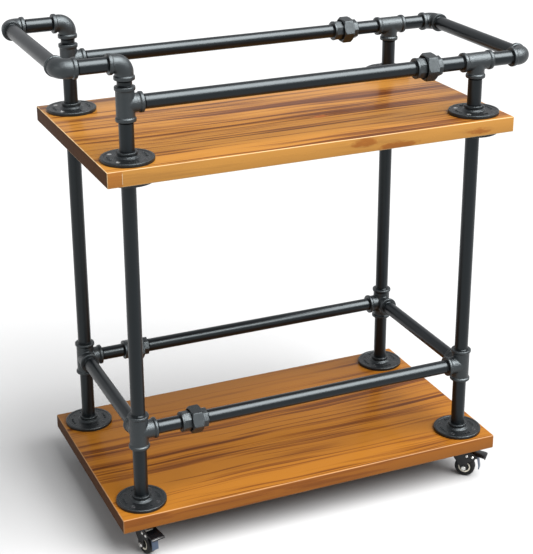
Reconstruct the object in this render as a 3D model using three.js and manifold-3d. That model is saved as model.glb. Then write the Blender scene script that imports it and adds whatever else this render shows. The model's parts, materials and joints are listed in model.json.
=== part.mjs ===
// Bar cart on wheels: two wooden boards in a frame of three-quarter inch pipe and threaded iron fittings,
// with a raised handle at one end, guard rails round both boards and four swivel casters with brakes.
// Millimetres, +Z up. The origin is on the floor under the middle of the cart, -X is the handle end
// and -Y is the front.
import * as THREE from "three";
import { mergeVertices } from "three/addons/utils/BufferGeometryUtils.js";
import Module from "manifold-3d";

// Boards
const BOARD_LENGTH = 800;
const BOARD_WIDTH = 450;
const BOARD_THICKNESS = 29;
const BOARD_CENTRE_X = 4;
const GLUED_PLANKS = 3;

// Heights above the floor
const CASTER_HEIGHT = 72;
const LOWER_TOP = CASTER_HEIGHT + BOARD_THICKNESS;
const CLEAR_HEIGHT = 650;
const UPPER_UNDERSIDE = LOWER_TOP + CLEAR_HEIGHT;
const UPPER_TOP = UPPER_UNDERSIDE + BOARD_THICKNESS;
const LOWER_RAIL_Z = LOWER_TOP + 150;
const TOP_RAIL_Z = UPPER_TOP + 100;
const HANDLE_Z = UPPER_TOP + 171;

// Places in plan, measured from the middle of the boards
const POST_X = 345;
const POST_Y = 170;
const HANDLE_BAR_X = -457;
const CROSS_BAR_X = 449;
const TOP_UNION_X = 213;
const LOWER_UNION_X = -263;

// Pipe and fittings
const PIPE_RADIUS = 13.35;
const PIPE_BORE_RADIUS = 10.45;
const THREAD_DEPTH = 13;
const CLEARANCE = 0.3;
const SOCKET_RADIUS = PIPE_RADIUS + CLEARANCE;
const BODY_RADIUS = 16.6;
const BEAD_RADIUS = 18.5;
const BEAD_WIDTH = 7;
const ELBOW_REACH = 29;
const TEE_REACH = 31;
const SIDE_TEE_REACH = 34;
const SIDE_TEE_BODY_RADIUS = 17.5;
const SIDE_TEE_BEAD_RADIUS = 20;

// Flanges
const FLANGE_RADIUS = 48;
const FLANGE_THICKNESS = 6.5;
const FLANGE_HEIGHT = 16;
const SCREW_CIRCLE_RADIUS = 35;
const SCREW_HOLE_RADIUS = 2.8;
const SCREW_COUNT = 4;
const HUB_FLARE = 2;

// Unions
const UNION_LENGTH = 52;
const COLLAR_LENGTH = 19;
const NUT_LENGTH = 22;
const NUT_CORNER_RADIUS = 27;
const OCTAGON_RADIUS = 19.5;

// Casters
const CASTER_X = 348;
const CASTER_Y = 178;
const TRAIL = 14;
const WHEEL_RADIUS = 21;
const WHEEL_WIDTH = 18;
const HUB_RADIUS = 12.5;
const HUB_RECESS = 2;
const TREAD_ROUND = 3;
const AXLE_RADIUS = 3;
const AXLE_HEAD_RADIUS = 4.5;
const FORK_GAP = 22;
const SHEET = 2;
const CROWN_TOP = 61.7;
const CROWN_RADIUS = 16;
const RACE_RADIUS = 15;
const KINGPIN_RADIUS = 4;
const PLATE_SIDE = 38;
const PIVOT_X = 31;
const PIVOT_Z = 48.5;
const SPACER_X = 19;
const SPACER_Z = 49;
const RIVET_RADIUS = 2;
const RIVET_HEAD_RADIUS = 3.2;
const HEAD_HEIGHT = 3;
const CHEEK_HEEL_X = -10;
const CHEEK_WAIST_X = -8;
const CHEEK_WAIST_Z = 42;
const CHEEK_TOE_RADIUS = 7;
const CHEEK_THROAT_Z = 33;
const CHEEK_NOSE = 6;
const ARM_BACK_X = 27;
const ARM_FRONT_X = 42;
const SHOE_TIP_X = 44;
const SHOE_TIP_Z = 19;
const SHOE_WIDTH = 18;
const FOOT_START_X = 39;
const FOOT_TIP_X = 58;
const FOOT_TIP_Z = 49;
const FOOT_WIDTH = 28;
const HEADINGS = { front_left: -77, front_right: -44, rear_left: 93, rear_right: 35 };

// Roundness
const HEXAGON = 6;
const OCTAGON = 8;
const PIPE_SIDES = 12;
const FLANGE_SIDES = 16;
const WHEEL_SIDES = 20;
const ARC_SEGMENTS = 4;

// How far a cutting tool runs past a face, and one fused piece into the next.
const OVERRUN = 1;

const wasm = await Module();
wasm.setup();

const X = new THREE.Vector3(1, 0, 0);
const Y = new THREE.Vector3(0, 1, 0);
const Z = new THREE.Vector3(0, 0, 1);
const opposite = (direction) => direction.clone().negate();

const iron = (color, roughness) => new THREE.MeshStandardMaterial({ color, roughness, metalness: 0.6 });
const MATERIALS = {
  upperBoard: new THREE.MeshStandardMaterial({ color: 0xb5651d, roughness: 0.35, metalness: 0 }),
  lowerBoard: new THREE.MeshStandardMaterial({ color: 0x9c4f1c, roughness: 0.4, metalness: 0 }),
  pipe: iron(0x2a2c30, 0.42),
  fitting: iron(0x232427, 0.58),
  stamping: iron(0x101011, 0.45),
  tyre: new THREE.MeshStandardMaterial({ color: 0x0c0c0c, roughness: 0.7, metalness: 0 }),
};

// A closed three.js geometry as a solid whose faces point outwards.
function solid(geometry) {
  const bare = geometry.clone();
  bare.deleteAttribute("normal");
  bare.deleteAttribute("uv");
  const merged = mergeVertices(bare, 1e-4);
  const vertProperties = merged.attributes.position.array;
  const triVerts = new Uint32Array(merged.index.array);
  const made = new wasm.Manifold(new wasm.Mesh({ numProp: 3, vertProperties, triVerts }));
  if (made.volume() > 0) return made;
  const turned = new wasm.Mesh({ numProp: 3, vertProperties, triVerts: triVerts.reverse() });
  return new wasm.Manifold(turned);
}

// A solid as a geometry for a mesh.
function surface(body) {
  const { vertProperties, triVerts } = body.getMesh();
  const geometry = new THREE.BufferGeometry();
  geometry.setAttribute("position", new THREE.BufferAttribute(new Float32Array(vertProperties), 3));
  geometry.setIndex(new THREE.BufferAttribute(new Uint32Array(triVerts), 1));
  geometry.computeVertexNormals();
  return geometry;
}

// A profile of [radius, distance] points turned about an axis that leaves the origin in a direction.
function revolve(profile, direction = Z, sides = PIPE_SIDES) {
  const points = profile.map(([radius, along]) => new THREE.Vector2(radius, along));
  const geometry = new THREE.LatheGeometry(points, sides);
  return solid(geometry.applyQuaternion(new THREE.Quaternion().setFromUnitVectors(Y, direction)));
}

// A full cylinder or prism between two distances along a direction.
function rod(radius, from, to, direction = Z, sides = PIPE_SIDES) {
  return revolve([[0, from], [radius, from], [radius, to], [0, to]], direction, sides);
}

// A bored pipe between two distances along a direction.
function pipe(from, to, direction = Z, radius = PIPE_RADIUS) {
  const section = [[PIPE_BORE_RADIUS, from], [radius, from], [radius, to], [PIPE_BORE_RADIUS, to]];
  return revolve([...section, section[0]], direction);
}

// A flat outline in the XZ plane given a thickness centred on a place along Y.
function sheet(outline, middle, thickness) {
  const settings = { depth: thickness, bevelEnabled: false, curveSegments: ARC_SEGMENTS };
  const geometry = new THREE.ExtrudeGeometry(outline, settings);
  geometry.rotateX(Math.PI / 2);
  geometry.translate(0, middle + thickness / 2, 0);
  return solid(geometry);
}

const joined = (bodies) => bodies.reduce((whole, body) => whole.add(body));
const cut = (body, tools) => tools.reduce((whole, tool) => whole.subtract(tool), body);

const cart = new THREE.Group();

function addPiece(parent, name, geometry, material, x = 0, y = 0, z = 0) {
  const mesh = new THREE.Mesh(geometry, material);
  mesh.name = name;
  mesh.position.set(x, y, z);
  parent.add(mesh);
}

// The frame is laid out from the middle of the boards.
const frame = new THREE.Group();
frame.position.x = BOARD_CENTRE_X;
cart.add(frame);

// A threaded fitting centred on the origin, with a beaded socket at both ends of each run
// and at the end of each outlet.
function fittingBody(runs, outlets, reach, bodyRadius = BODY_RADIUS, beadRadius = BEAD_RADIUS) {
  const halfArm = [
    [bodyRadius, reach - BEAD_WIDTH],
    [beadRadius, reach - BEAD_WIDTH],
    [beadRadius, reach],
    [0, reach],
  ];
  const otherHalf = halfArm.map(([radius, along]) => [radius, -along]).reverse();
  const outside = [
    ...runs.map((direction) => revolve([...otherHalf, ...halfArm], direction)),
    ...outlets.map((direction) => revolve([[0, 0], [bodyRadius, 0], ...halfArm], direction)),
  ];
  const bores = [
    ...runs.map((direction) => rod(SOCKET_RADIUS, -reach - OVERRUN, reach + OVERRUN, direction)),
    ...outlets.map((direction) => rod(SOCKET_RADIUS, 0, reach + OVERRUN, direction)),
  ];
  if (runs.length === 0) {
    outside.push(solid(new THREE.SphereGeometry(bodyRadius, PIPE_SIDES, PIPE_SIDES / 2)));
    bores.push(solid(new THREE.SphereGeometry(SOCKET_RADIUS, PIPE_SIDES, PIPE_SIDES / 2)));
  }
  return cut(joined(outside), bores);
}

const fitting = (...settings) => surface(fittingBody(...settings));

// A floor flange screwed on a pipe that leaves it in a direction, with its face at the origin.
function flangedPipe(length, direction) {
  const insideWall = (PIPE_RADIUS + PIPE_BORE_RADIUS) / 2;
  const flange = revolve(
    [
      [insideWall, 0],
      [FLANGE_RADIUS, 0],
      [FLANGE_RADIUS, FLANGE_THICKNESS],
      [BEAD_RADIUS + HUB_FLARE, FLANGE_THICKNESS],
      [BEAD_RADIUS, FLANGE_HEIGHT],
      [insideWall, FLANGE_HEIGHT],
      [insideWall, 0],
    ],
    direction,
    FLANGE_SIDES,
  );
  const holes = [];
  for (let i = 0; i < SCREW_COUNT; i += 1) {
    const angle = ((i + 0.5) * 2 * Math.PI) / SCREW_COUNT;
    const hole = rod(SCREW_HOLE_RADIUS, -OVERRUN, FLANGE_THICKNESS + OVERRUN, direction, HEXAGON);
    holes.push(hole.translate([
      SCREW_CIRCLE_RADIUS * Math.cos(angle),
      SCREW_CIRCLE_RADIUS * Math.sin(angle),
      0,
    ]));
  }
  return surface(cut(flange.add(pipe(0, length, direction)), holes));
}

// A union with a pipe stub: one end takes a long rail in a socket, the stub leaves the other end.
// The union starts at the origin and runs toward +X.
function unionWithStub(stubFrom, stubTo, socketAtStart) {
  const nutEnd = COLLAR_LENGTH + NUT_LENGTH;
  const outside = joined([
    rod(OCTAGON_RADIUS, 0, UNION_LENGTH, X, OCTAGON),
    rod(NUT_CORNER_RADIUS, COLLAR_LENGTH, nutEnd, X, HEXAGON),
    rod(PIPE_RADIUS, stubFrom, stubTo, X),
  ]);
  const bottom = THREAD_DEPTH + CLEARANCE;
  const socket = socketAtStart
    ? rod(SOCKET_RADIUS, -OVERRUN, bottom, X)
    : rod(SOCKET_RADIUS, UNION_LENGTH - bottom, UNION_LENGTH + OVERRUN, X);
  const boreFrom = Math.min(stubFrom, 0) - OVERRUN;
  const boreTo = Math.max(stubTo, UNION_LENGTH) + OVERRUN;
  const bore = rod(PIPE_BORE_RADIUS, boreFrom, boreTo, X);
  return surface(cut(outside, [socket, bore]));
}

// The boards, each glued up from planks that lie side by side.
function board(name, material, underside) {
  const geometry = new THREE.BoxGeometry(BOARD_LENGTH, BOARD_WIDTH, BOARD_THICKNESS, 1, GLUED_PLANKS, 1);
  addPiece(frame, name, geometry, material, 0, 0, underside + BOARD_THICKNESS / 2);
}
board("lower_board", MATERIALS.lowerBoard, CASTER_HEIGHT);
board("upper_board", MATERIALS.upperBoard, UPPER_UNDERSIDE);

const SIDES = [["front", -1], ["rear", 1]];
const ENDS = [["left", -1], ["right", 1]];
const elbowSeat = ELBOW_REACH - THREAD_DEPTH;
const teeSeat = TEE_REACH - THREAD_DEPTH;
const sideTeeSeat = SIDE_TEE_REACH - THREAD_DEPTH;

// The four posts, from the lower board up to the underside of the upper board.
const footLength = LOWER_RAIL_Z - sideTeeSeat - LOWER_TOP - CLEARANCE;
const postLength = UPPER_UNDERSIDE - CLEARANCE - LOWER_RAIL_Z - sideTeeSeat;
for (const [side, sideSign] of SIDES) {
  for (const [end, endSign] of ENDS) {
    const corner = `${side}_${end}`;
    const x = POST_X * endSign;
    const y = POST_Y * sideSign;
    const inwardX = X.clone().multiplyScalar(-endSign);
    const inwardY = Y.clone().multiplyScalar(-sideSign);
    const foot = flangedPipe(footLength, Z);
    const post = flangedPipe(postLength, opposite(Z));
    const outlets = [inwardX, inwardY];
    const tee = fitting([Z], outlets, SIDE_TEE_REACH, SIDE_TEE_BODY_RADIUS, SIDE_TEE_BEAD_RADIUS);
    addPiece(frame, `foot_flange_${corner}`, foot, MATERIALS.fitting, x, y, LOWER_TOP + CLEARANCE);
    addPiece(frame, `side_outlet_tee_${corner}`, tee, MATERIALS.fitting, x, y, LOWER_RAIL_Z);
    addPiece(frame, `post_${corner}`, post, MATERIALS.pipe, x, y, UPPER_UNDERSIDE - CLEARANCE);
  }
}

// The guard rail round the lower board.
const sideRailEnd = POST_Y - sideTeeSeat;
for (const [end, endSign] of ENDS) {
  const rail = surface(pipe(-sideRailEnd, sideRailEnd, Y));
  addPiece(frame, `lower_side_rail_${end}`, rail, MATERIALS.pipe, POST_X * endSign, 0, LOWER_RAIL_Z);
}
for (const [side, sideSign] of SIDES) {
  const y = POST_Y * sideSign;
  const stubStart = -POST_X + sideTeeSeat - LOWER_UNION_X;
  const union = unionWithStub(stubStart, COLLAR_LENGTH, false);
  const railStart = LOWER_UNION_X + UNION_LENGTH - THREAD_DEPTH;
  const rail = surface(pipe(railStart, POST_X - sideTeeSeat, X));
  addPiece(frame, `lower_union_${side}`, union, MATERIALS.fitting, LOWER_UNION_X, y, LOWER_RAIL_Z);
  addPiece(frame, `lower_rail_${side}`, rail, MATERIALS.pipe, 0, y, LOWER_RAIL_Z);
}

// The rails above the upper board, with the raised handle at the left end.
const shortPostLength = TOP_RAIL_Z - teeSeat - UPPER_TOP - CLEARANCE;
for (const [side, sideSign] of SIDES) {
  const y = POST_Y * sideSign;
  const inwardY = Y.clone().multiplyScalar(-sideSign);

  for (const [end, endSign] of ENDS) {
    const shortPost = flangedPipe(shortPostLength, Z);
    const x = POST_X * endSign;
    addPiece(frame, `rail_post_${side}_${end}`, shortPost, MATERIALS.fitting, x, y, UPPER_TOP + CLEARANCE);
  }
  const leftTee = fitting([Z], [X], TEE_REACH);
  const rightTee = fitting([X], [opposite(Z)], TEE_REACH);
  addPiece(frame, `rail_tee_${side}_left`, leftTee, MATERIALS.fitting, -POST_X, y, TOP_RAIL_Z);
  addPiece(frame, `rail_tee_${side}_right`, rightTee, MATERIALS.fitting, POST_X, y, TOP_RAIL_Z);

  const union = unionWithStub(UNION_LENGTH - THREAD_DEPTH, POST_X - teeSeat - TOP_UNION_X, true);
  const rail = surface(pipe(-POST_X + teeSeat, TOP_UNION_X + THREAD_DEPTH, X));
  addPiece(frame, `top_union_${side}`, union, MATERIALS.fitting, TOP_UNION_X, y, TOP_RAIL_Z);
  addPiece(frame, `top_rail_${side}`, rail, MATERIALS.pipe, 0, y, TOP_RAIL_Z);

  const elbow = joined([
    fittingBody([], [opposite(Z), opposite(X)], ELBOW_REACH),
    pipe(-ELBOW_REACH, -elbowSeat, Z, SOCKET_RADIUS + CLEARANCE),
    pipe(TOP_RAIL_Z + teeSeat - HANDLE_Z, -elbowSeat),
  ]);
  addPiece(frame, `handle_elbow_${side}`, surface(elbow), MATERIALS.fitting, -POST_X, y, HANDLE_Z);
  const handleArm = surface(pipe(HANDLE_BAR_X + elbowSeat, -POST_X - elbowSeat, X));
  addPiece(frame, `handle_arm_${side}`, handleArm, MATERIALS.pipe, 0, y, HANDLE_Z);
  const handleCorner = fitting([], [X, inwardY], ELBOW_REACH);
  addPiece(frame, `handle_corner_${side}`, handleCorner, MATERIALS.fitting, HANDLE_BAR_X, y, HANDLE_Z);

  const crossArm = surface(pipe(POST_X + teeSeat, CROSS_BAR_X - elbowSeat, X));
  addPiece(frame, `cross_bar_arm_${side}`, crossArm, MATERIALS.pipe, 0, y, TOP_RAIL_Z);
  const crossCorner = fitting([], [opposite(X), inwardY], ELBOW_REACH);
  addPiece(frame, `cross_bar_corner_${side}`, crossCorner, MATERIALS.fitting, CROSS_BAR_X, y, TOP_RAIL_Z);
}
const barEnd = POST_Y - elbowSeat;
addPiece(frame, "handle_bar", surface(pipe(-barEnd, barEnd, Y)), MATERIALS.pipe, HANDLE_BAR_X, 0, HANDLE_Z);
addPiece(frame, "cross_bar", surface(pipe(-barEnd, barEnd, Y)), MATERIALS.pipe, CROSS_BAR_X, 0, TOP_RAIL_Z);

// Caster pieces. Each stands on the floor with its swivel axis on Z, trailing toward +X.
function topPlate() {
  const plateTop = CASTER_HEIGHT - CLEARANCE;
  const plate = new THREE.BoxGeometry(PLATE_SIDE, PLATE_SIDE, SHEET).translate(0, 0, plateTop - SHEET / 2);
  const headTop = CROWN_TOP - SHEET - CLEARANCE;
  return surface(joined([
    solid(plate),
    rod(RACE_RADIUS, CROWN_TOP + CLEARANCE, plateTop - OVERRUN),
    rod(KINGPIN_RADIUS, headTop - SHEET, plateTop - OVERRUN),
    rod(KINGPIN_RADIUS + SHEET, headTop - SHEET, headTop),
  ]));
}

// One side of the fork: it hangs from the crown, holds the axle in its toe and the rivets in its nose.
function forkCheek() {
  const noseX = PIVOT_X + CHEEK_NOSE;
  const outline = new THREE.Shape();
  outline.moveTo(CHEEK_HEEL_X, CROWN_TOP);
  outline.lineTo(CHEEK_WAIST_X, CHEEK_WAIST_Z);
  outline.lineTo(TRAIL - CHEEK_TOE_RADIUS, WHEEL_RADIUS);
  outline.absarc(TRAIL, WHEEL_RADIUS, CHEEK_TOE_RADIUS, Math.PI, 2 * Math.PI, false);
  outline.lineTo(TRAIL + CHEEK_TOE_RADIUS, CHEEK_THROAT_Z);
  outline.lineTo(noseX, PIVOT_Z - CHEEK_NOSE);
  outline.lineTo(noseX, PIVOT_Z + CHEEK_NOSE);
  outline.lineTo(CROWN_RADIUS, CROWN_TOP);
  return outline;
}

// A pin through both cheeks with a head on each outer face.
function crossPin(radius, headRadius, x, z) {
  const outer = FORK_GAP / 2 + SHEET;
  const pin = joined([
    rod(radius, -outer, outer, Y, OCTAGON),
    rod(headRadius, outer - OVERRUN, outer + HEAD_HEIGHT, Y, OCTAGON),
    rod(headRadius, -outer - HEAD_HEIGHT, OVERRUN - outer, Y, OCTAGON),
  ]);
  return pin.translate([x, 0, z]);
}

function fork() {
  const cheekMiddle = (FORK_GAP + SHEET) / 2;
  const crown = rod(CROWN_RADIUS, CROWN_TOP - SHEET, CROWN_TOP);
  const holeRadius = KINGPIN_RADIUS + CLEARANCE;
  const pinHole = rod(holeRadius, CROWN_TOP - SHEET - OVERRUN, CROWN_TOP + OVERRUN);
  return surface(cut(
    joined([
      crown,
      sheet(forkCheek(), cheekMiddle, SHEET),
      sheet(forkCheek(), -cheekMiddle, SHEET),
      crossPin(AXLE_RADIUS, AXLE_HEAD_RADIUS, TRAIL, WHEEL_RADIUS),
      crossPin(RIVET_RADIUS, RIVET_HEAD_RADIUS, PIVOT_X, PIVOT_Z),
      crossPin(RIVET_RADIUS, RIVET_HEAD_RADIUS, SPACER_X, SPACER_Z),
    ]),
    [pinHole],
  ));
}

function wheel() {
  const half = WHEEL_WIDTH / 2;
  const bore = AXLE_RADIUS + CLEARANCE;
  const side = [
    [bore, half - HUB_RECESS],
    [HUB_RADIUS, half - HUB_RECESS],
    [HUB_RADIUS + HUB_RECESS, half],
    [WHEEL_RADIUS - TREAD_ROUND, half],
    [WHEEL_RADIUS, half - TREAD_ROUND],
  ];
  const otherSide = side.map(([radius, along]) => [radius, -along]).reverse();
  return surface(revolve([...side, ...otherSide, side[0]], Y, WHEEL_SIDES));
}

// The brake lever: an arm on the pivot with a shoe that comes down beside the tread,
// and a foot pedal that sticks out over the shoe.
function brakePedal() {
  const arm = new THREE.Shape();
  arm.moveTo(ARM_BACK_X, PIVOT_Z - 2 * SHEET);
  arm.lineTo(FOOT_START_X, PIVOT_Z - 3 * SHEET);
  arm.lineTo(SHOE_TIP_X - SHEET / 2, SHOE_TIP_Z);
  arm.lineTo(SHOE_TIP_X + SHEET / 2, SHOE_TIP_Z);
  arm.lineTo(ARM_FRONT_X, PIVOT_Z - 2 * SHEET);
  arm.lineTo(ARM_FRONT_X, PIVOT_Z + 2 * SHEET);
  arm.lineTo(ARM_BACK_X, PIVOT_Z + 2 * SHEET);
  const foot = new THREE.Shape();
  foot.moveTo(FOOT_START_X, PIVOT_Z + SHEET / 2);
  foot.lineTo(FOOT_TIP_X - SHEET, FOOT_TIP_Z);
  foot.lineTo(FOOT_TIP_X, FOOT_TIP_Z + SHEET);
  foot.lineTo(FOOT_START_X, PIVOT_Z + 2 * SHEET);
  const bore = rod(RIVET_RADIUS + CLEARANCE, -SHOE_WIDTH, SHOE_WIDTH, Y, OCTAGON);
  const lever = sheet(arm, 0, SHOE_WIDTH).add(sheet(foot, 0, FOOT_WIDTH));
  return surface(cut(lever, [bore.translate([PIVOT_X, 0, PIVOT_Z])]));
}

for (const [side, sideSign] of SIDES) {
  for (const [end, endSign] of ENDS) {
    const corner = `${side}_${end}`;
    const caster = new THREE.Group();
    caster.position.set(CASTER_X * endSign, CASTER_Y * sideSign, 0);
    frame.add(caster);
    addPiece(caster, `caster_plate_${corner}`, topPlate(), MATERIALS.stamping);
    const swivel = new THREE.Group();
    swivel.rotation.z = THREE.MathUtils.degToRad(HEADINGS[corner]);
    caster.add(swivel);
    addPiece(swivel, `caster_fork_${corner}`, fork(), MATERIALS.stamping);
    addPiece(swivel, `caster_wheel_${corner}`, wheel(), MATERIALS.tyre, TRAIL, 0, WHEEL_RADIUS);
    addPiece(swivel, `brake_pedal_${corner}`, brakePedal(), MATERIALS.stamping);
  }
}

export default cart;
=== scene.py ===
import json
import math

import bmesh
import bpy
from mathutils import Matrix, Vector


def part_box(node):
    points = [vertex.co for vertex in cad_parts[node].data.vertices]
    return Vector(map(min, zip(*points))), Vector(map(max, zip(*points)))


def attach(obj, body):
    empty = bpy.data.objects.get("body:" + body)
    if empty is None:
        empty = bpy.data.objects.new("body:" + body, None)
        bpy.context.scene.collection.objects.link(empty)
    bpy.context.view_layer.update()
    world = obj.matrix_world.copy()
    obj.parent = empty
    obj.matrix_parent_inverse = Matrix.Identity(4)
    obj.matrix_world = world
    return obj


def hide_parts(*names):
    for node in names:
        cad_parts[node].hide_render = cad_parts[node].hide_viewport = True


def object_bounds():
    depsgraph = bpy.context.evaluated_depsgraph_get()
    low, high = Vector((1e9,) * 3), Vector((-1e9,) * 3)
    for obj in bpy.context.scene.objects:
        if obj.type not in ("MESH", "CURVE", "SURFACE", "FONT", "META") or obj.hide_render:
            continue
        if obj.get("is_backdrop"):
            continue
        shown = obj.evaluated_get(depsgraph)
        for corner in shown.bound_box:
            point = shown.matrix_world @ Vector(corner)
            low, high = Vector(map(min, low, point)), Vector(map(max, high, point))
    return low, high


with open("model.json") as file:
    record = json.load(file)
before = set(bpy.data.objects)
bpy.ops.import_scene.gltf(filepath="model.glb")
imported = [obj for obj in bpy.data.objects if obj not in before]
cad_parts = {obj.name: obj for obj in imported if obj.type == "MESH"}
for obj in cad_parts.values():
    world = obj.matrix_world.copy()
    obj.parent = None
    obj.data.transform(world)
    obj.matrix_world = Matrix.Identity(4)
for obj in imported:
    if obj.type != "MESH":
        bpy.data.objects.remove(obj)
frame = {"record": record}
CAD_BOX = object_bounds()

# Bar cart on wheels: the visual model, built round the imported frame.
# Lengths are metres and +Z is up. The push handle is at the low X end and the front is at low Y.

MM = 0.001

# -------- driving sizes

# Three-quarter inch pipe and its threads.
PIPE_R = 13.35 * MM
PIPE_BORE = 10.45 * MM
THREAD_DEPTH = 13 * MM
THREAD_SHOWN = 4.2 * MM
THREAD_PITCH = 1.81 * MM
THREAD_HEIGHT = 1.0 * MM
THREAD_CHAMFER = 0.6 * MM
THREAD_TAPER = 1 / 32

# Cast fittings: a body with a bead round each socket.
SOCKET_R = PIPE_R + 0.25 * MM
BODY_R = 16.6 * MM
BEAD_R = 18.5 * MM
BEAD_W = 6.5 * MM
BEAD_SLOPE = 1.2 * MM
ELBOW_REACH = 29 * MM
ELBOW_BEND = 17.6 * MM
ELBOW_STRAIGHT = ELBOW_REACH - ELBOW_BEND
ELBOW_ARC = ELBOW_BEND * math.pi / 2
ELBOW_SWELL = 0.5 * MM
TEE_REACH = 31 * MM
TEE_VOXEL = 0.95 * MM
BRANCH_BORE = SOCKET_R - 0.1 * MM
SIDE_TEE_REACH = 34 * MM
SIDE_TEE_BODY_R = 17.5 * MM
SIDE_TEE_BEAD_R = 20 * MM
SIDE_TEE_BEAD_W = 5.5 * MM

FLANGE_R = 48 * MM
FLANGE_T = 6.5 * MM
FLANGE_H = 16 * MM
FLANGE_BORE = PIPE_R + 0.2 * MM
FLANGE_NECK = BEAD_R - 1.0 * MM
FLANGE_PIPE_GAP = 0.5 * MM
SCREW_CIRCLE = 35 * MM
SCREW_HEAD_R = 4.3 * MM
SCREW_SHANK_R = 2.2 * MM
SCREW_HOLE_R = 2.6 * MM
SINK_R = SCREW_HEAD_R + 0.4 * MM
SCREW_SPIN = 1.1
WORN_SCREW_STEP = 3
MARK_STEP = math.radians(7.5)
MARK_WIDTH = 1.9 * MM

UNION_LENGTH = 52 * MM
COLLAR_LENGTH = 19 * MM
COLLAR_RING = 5 * MM
NUT_LENGTH = 22 * MM
NUT_R = 26.8 * MM
NUT_CHAMFER = 3.4 * MM
OCTAGON_R = 19.4 * MM
COLLAR_ROLL, NUT_ROLL, TAIL_ROLL = math.radians(-7.5), math.radians(9), math.radians(17.5)

# Casters: X is the way the pedal points, and Z is measured from the floor.
TRAIL = 14 * MM
WHEEL_R = 21 * MM
FORK_HALF = 11 * MM
FORK_TOE = 7 * MM
SHEET = 2 * MM
FORK_OUTER = FORK_HALF + SHEET
CROWN_TOP = 61.7 * MM
PLATE_HALF = 19 * MM
PLATE_SCREW = 14.5 * MM
PIVOT = Vector((31, 0, 48.5)) * MM
SPACER = Vector((19, 0, 49)) * MM
HUB = Vector((TRAIL, 0, WHEEL_R))
PEDAL_W = 28 * MM
SHOE_W = 18 * MM
EAR_T = 2 * MM

# Facets round a turned shape, by how large it looks.
ROUND = 48
FINE_ROUND = 96
CROWN_ROUND = 64
SMALL_ROUND = 24

CORNERS = ("front_left", "front_right", "rear_left", "rear_right")
X, Y, Z = Vector((1, 0, 0)), Vector((0, 1, 0)), Vector((0, 0, 1))


def low(node):
    return Vector(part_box(node)[0])


def high(node):
    return Vector(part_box(node)[1])


def middle(node):
    return (low(node) + high(node)) / 2


# -------- camera, light and floor

CAMERA_PLACE = (-1.0422, -2.3615, 1.5265)
CAMERA_YAW, CAMERA_PITCH, CAMERA_ROLL = math.radians(22.42), math.radians(-21.4), math.radians(-0.67)
CAMERA_LENS = 90.9
CAMERA_SHIFT_X, CAMERA_SHIFT_Y = 0.0523, -0.0653
FLOOR_REACH = 16
FLOOR_GREY = 0.268


def make_camera():
    """The camera stands in front of the cart, off toward its handle end, and looks down on it."""
    yaw, pitch, roll = CAMERA_YAW, CAMERA_PITCH, CAMERA_ROLL
    forward = Vector((math.sin(yaw) * math.cos(pitch), math.cos(yaw) * math.cos(pitch), math.sin(pitch)))
    level = Vector((math.cos(yaw), -math.sin(yaw), 0))
    upright = level.cross(forward)
    right = level * math.cos(roll) + upright * math.sin(roll)
    up = upright * math.cos(roll) - level * math.sin(roll)
    data = bpy.data.cameras.new("camera")
    data.lens = CAMERA_LENS
    data.shift_x = CAMERA_SHIFT_X
    data.shift_y = CAMERA_SHIFT_Y
    camera = bpy.data.objects.new("camera", data)
    turn = Matrix((right, up, -forward)).transposed().to_4x4()
    camera.matrix_world = Matrix.Translation(CAMERA_PLACE) @ turn
    bpy.context.scene.collection.objects.link(camera)
    bpy.context.scene.camera = camera


def add_light(data, matrix):
    light = bpy.data.objects.new(data.name, data)
    light.matrix_world = matrix
    bpy.context.scene.collection.objects.link(light)


def area_light(name, place, target, size, watts, colour):
    """A rectangular soft box that points from its place to a target."""
    data = bpy.data.lights.new(name, "AREA")
    data.shape = "RECTANGLE"
    data.size, data.size_y = size
    data.energy = watts
    data.color = colour
    aim = (Vector(target) - Vector(place)).to_track_quat("-Z", "Y").to_matrix().to_4x4()
    add_light(data, Matrix.Translation(place) @ aim)


def soft_sun(direction, strength, spread):
    """A broad overhead light so far away that it falls evenly on the whole floor."""
    data = bpy.data.lights.new("overhead", "SUN")
    data.energy = strength
    data.angle = math.radians(spread)
    add_light(data, Vector(direction).to_track_quat("Z", "Y").to_matrix().to_4x4())


def make_studio():
    world = bpy.data.worlds.new("studio")
    world.use_nodes = True
    background = world.node_tree.nodes["Background"]
    background.inputs["Color"].default_value = (0.97, 0.98, 1.0, 1)
    background.inputs["Strength"].default_value = 0.8
    bpy.context.scene.world = world
    bpy.context.scene.view_settings.view_transform = "Standard"
    soft_sun(direction=(0.36, -0.45, 0.82), strength=13.2, spread=54)
    area_light("left", (-2.9, -1.2, 1.6), (0, 0, 0.5), size=(0.9, 1.8), watts=22, colour=(1, 0.985, 0.96))


def make_floor():
    """A plain floor, grey enough that the overhead light brings it to white."""
    mesh = bpy.data.meshes.new("floor")
    far = FLOOR_REACH
    corners = [(-far, -far, 0), (far, -far, 0), (far, far, 0), (-far, far, 0)]
    mesh.from_pydata(corners, [], [(0, 1, 2, 3)])
    floor = bpy.data.objects.new("floor", mesh)
    bpy.context.scene.collection.objects.link(floor)
    material = bpy.data.materials.new("floor")
    material.use_nodes = True
    shader = material.node_tree.nodes["Principled BSDF"]
    shader.inputs["Base Color"].default_value = (FLOOR_GREY, FLOOR_GREY, FLOOR_GREY, 1)
    shader.inputs["Roughness"].default_value = 0.9
    shader.inputs["Specular IOR Level"].default_value = 0.1
    mesh.materials.append(material)
    floor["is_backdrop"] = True


# -------- materials


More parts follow.
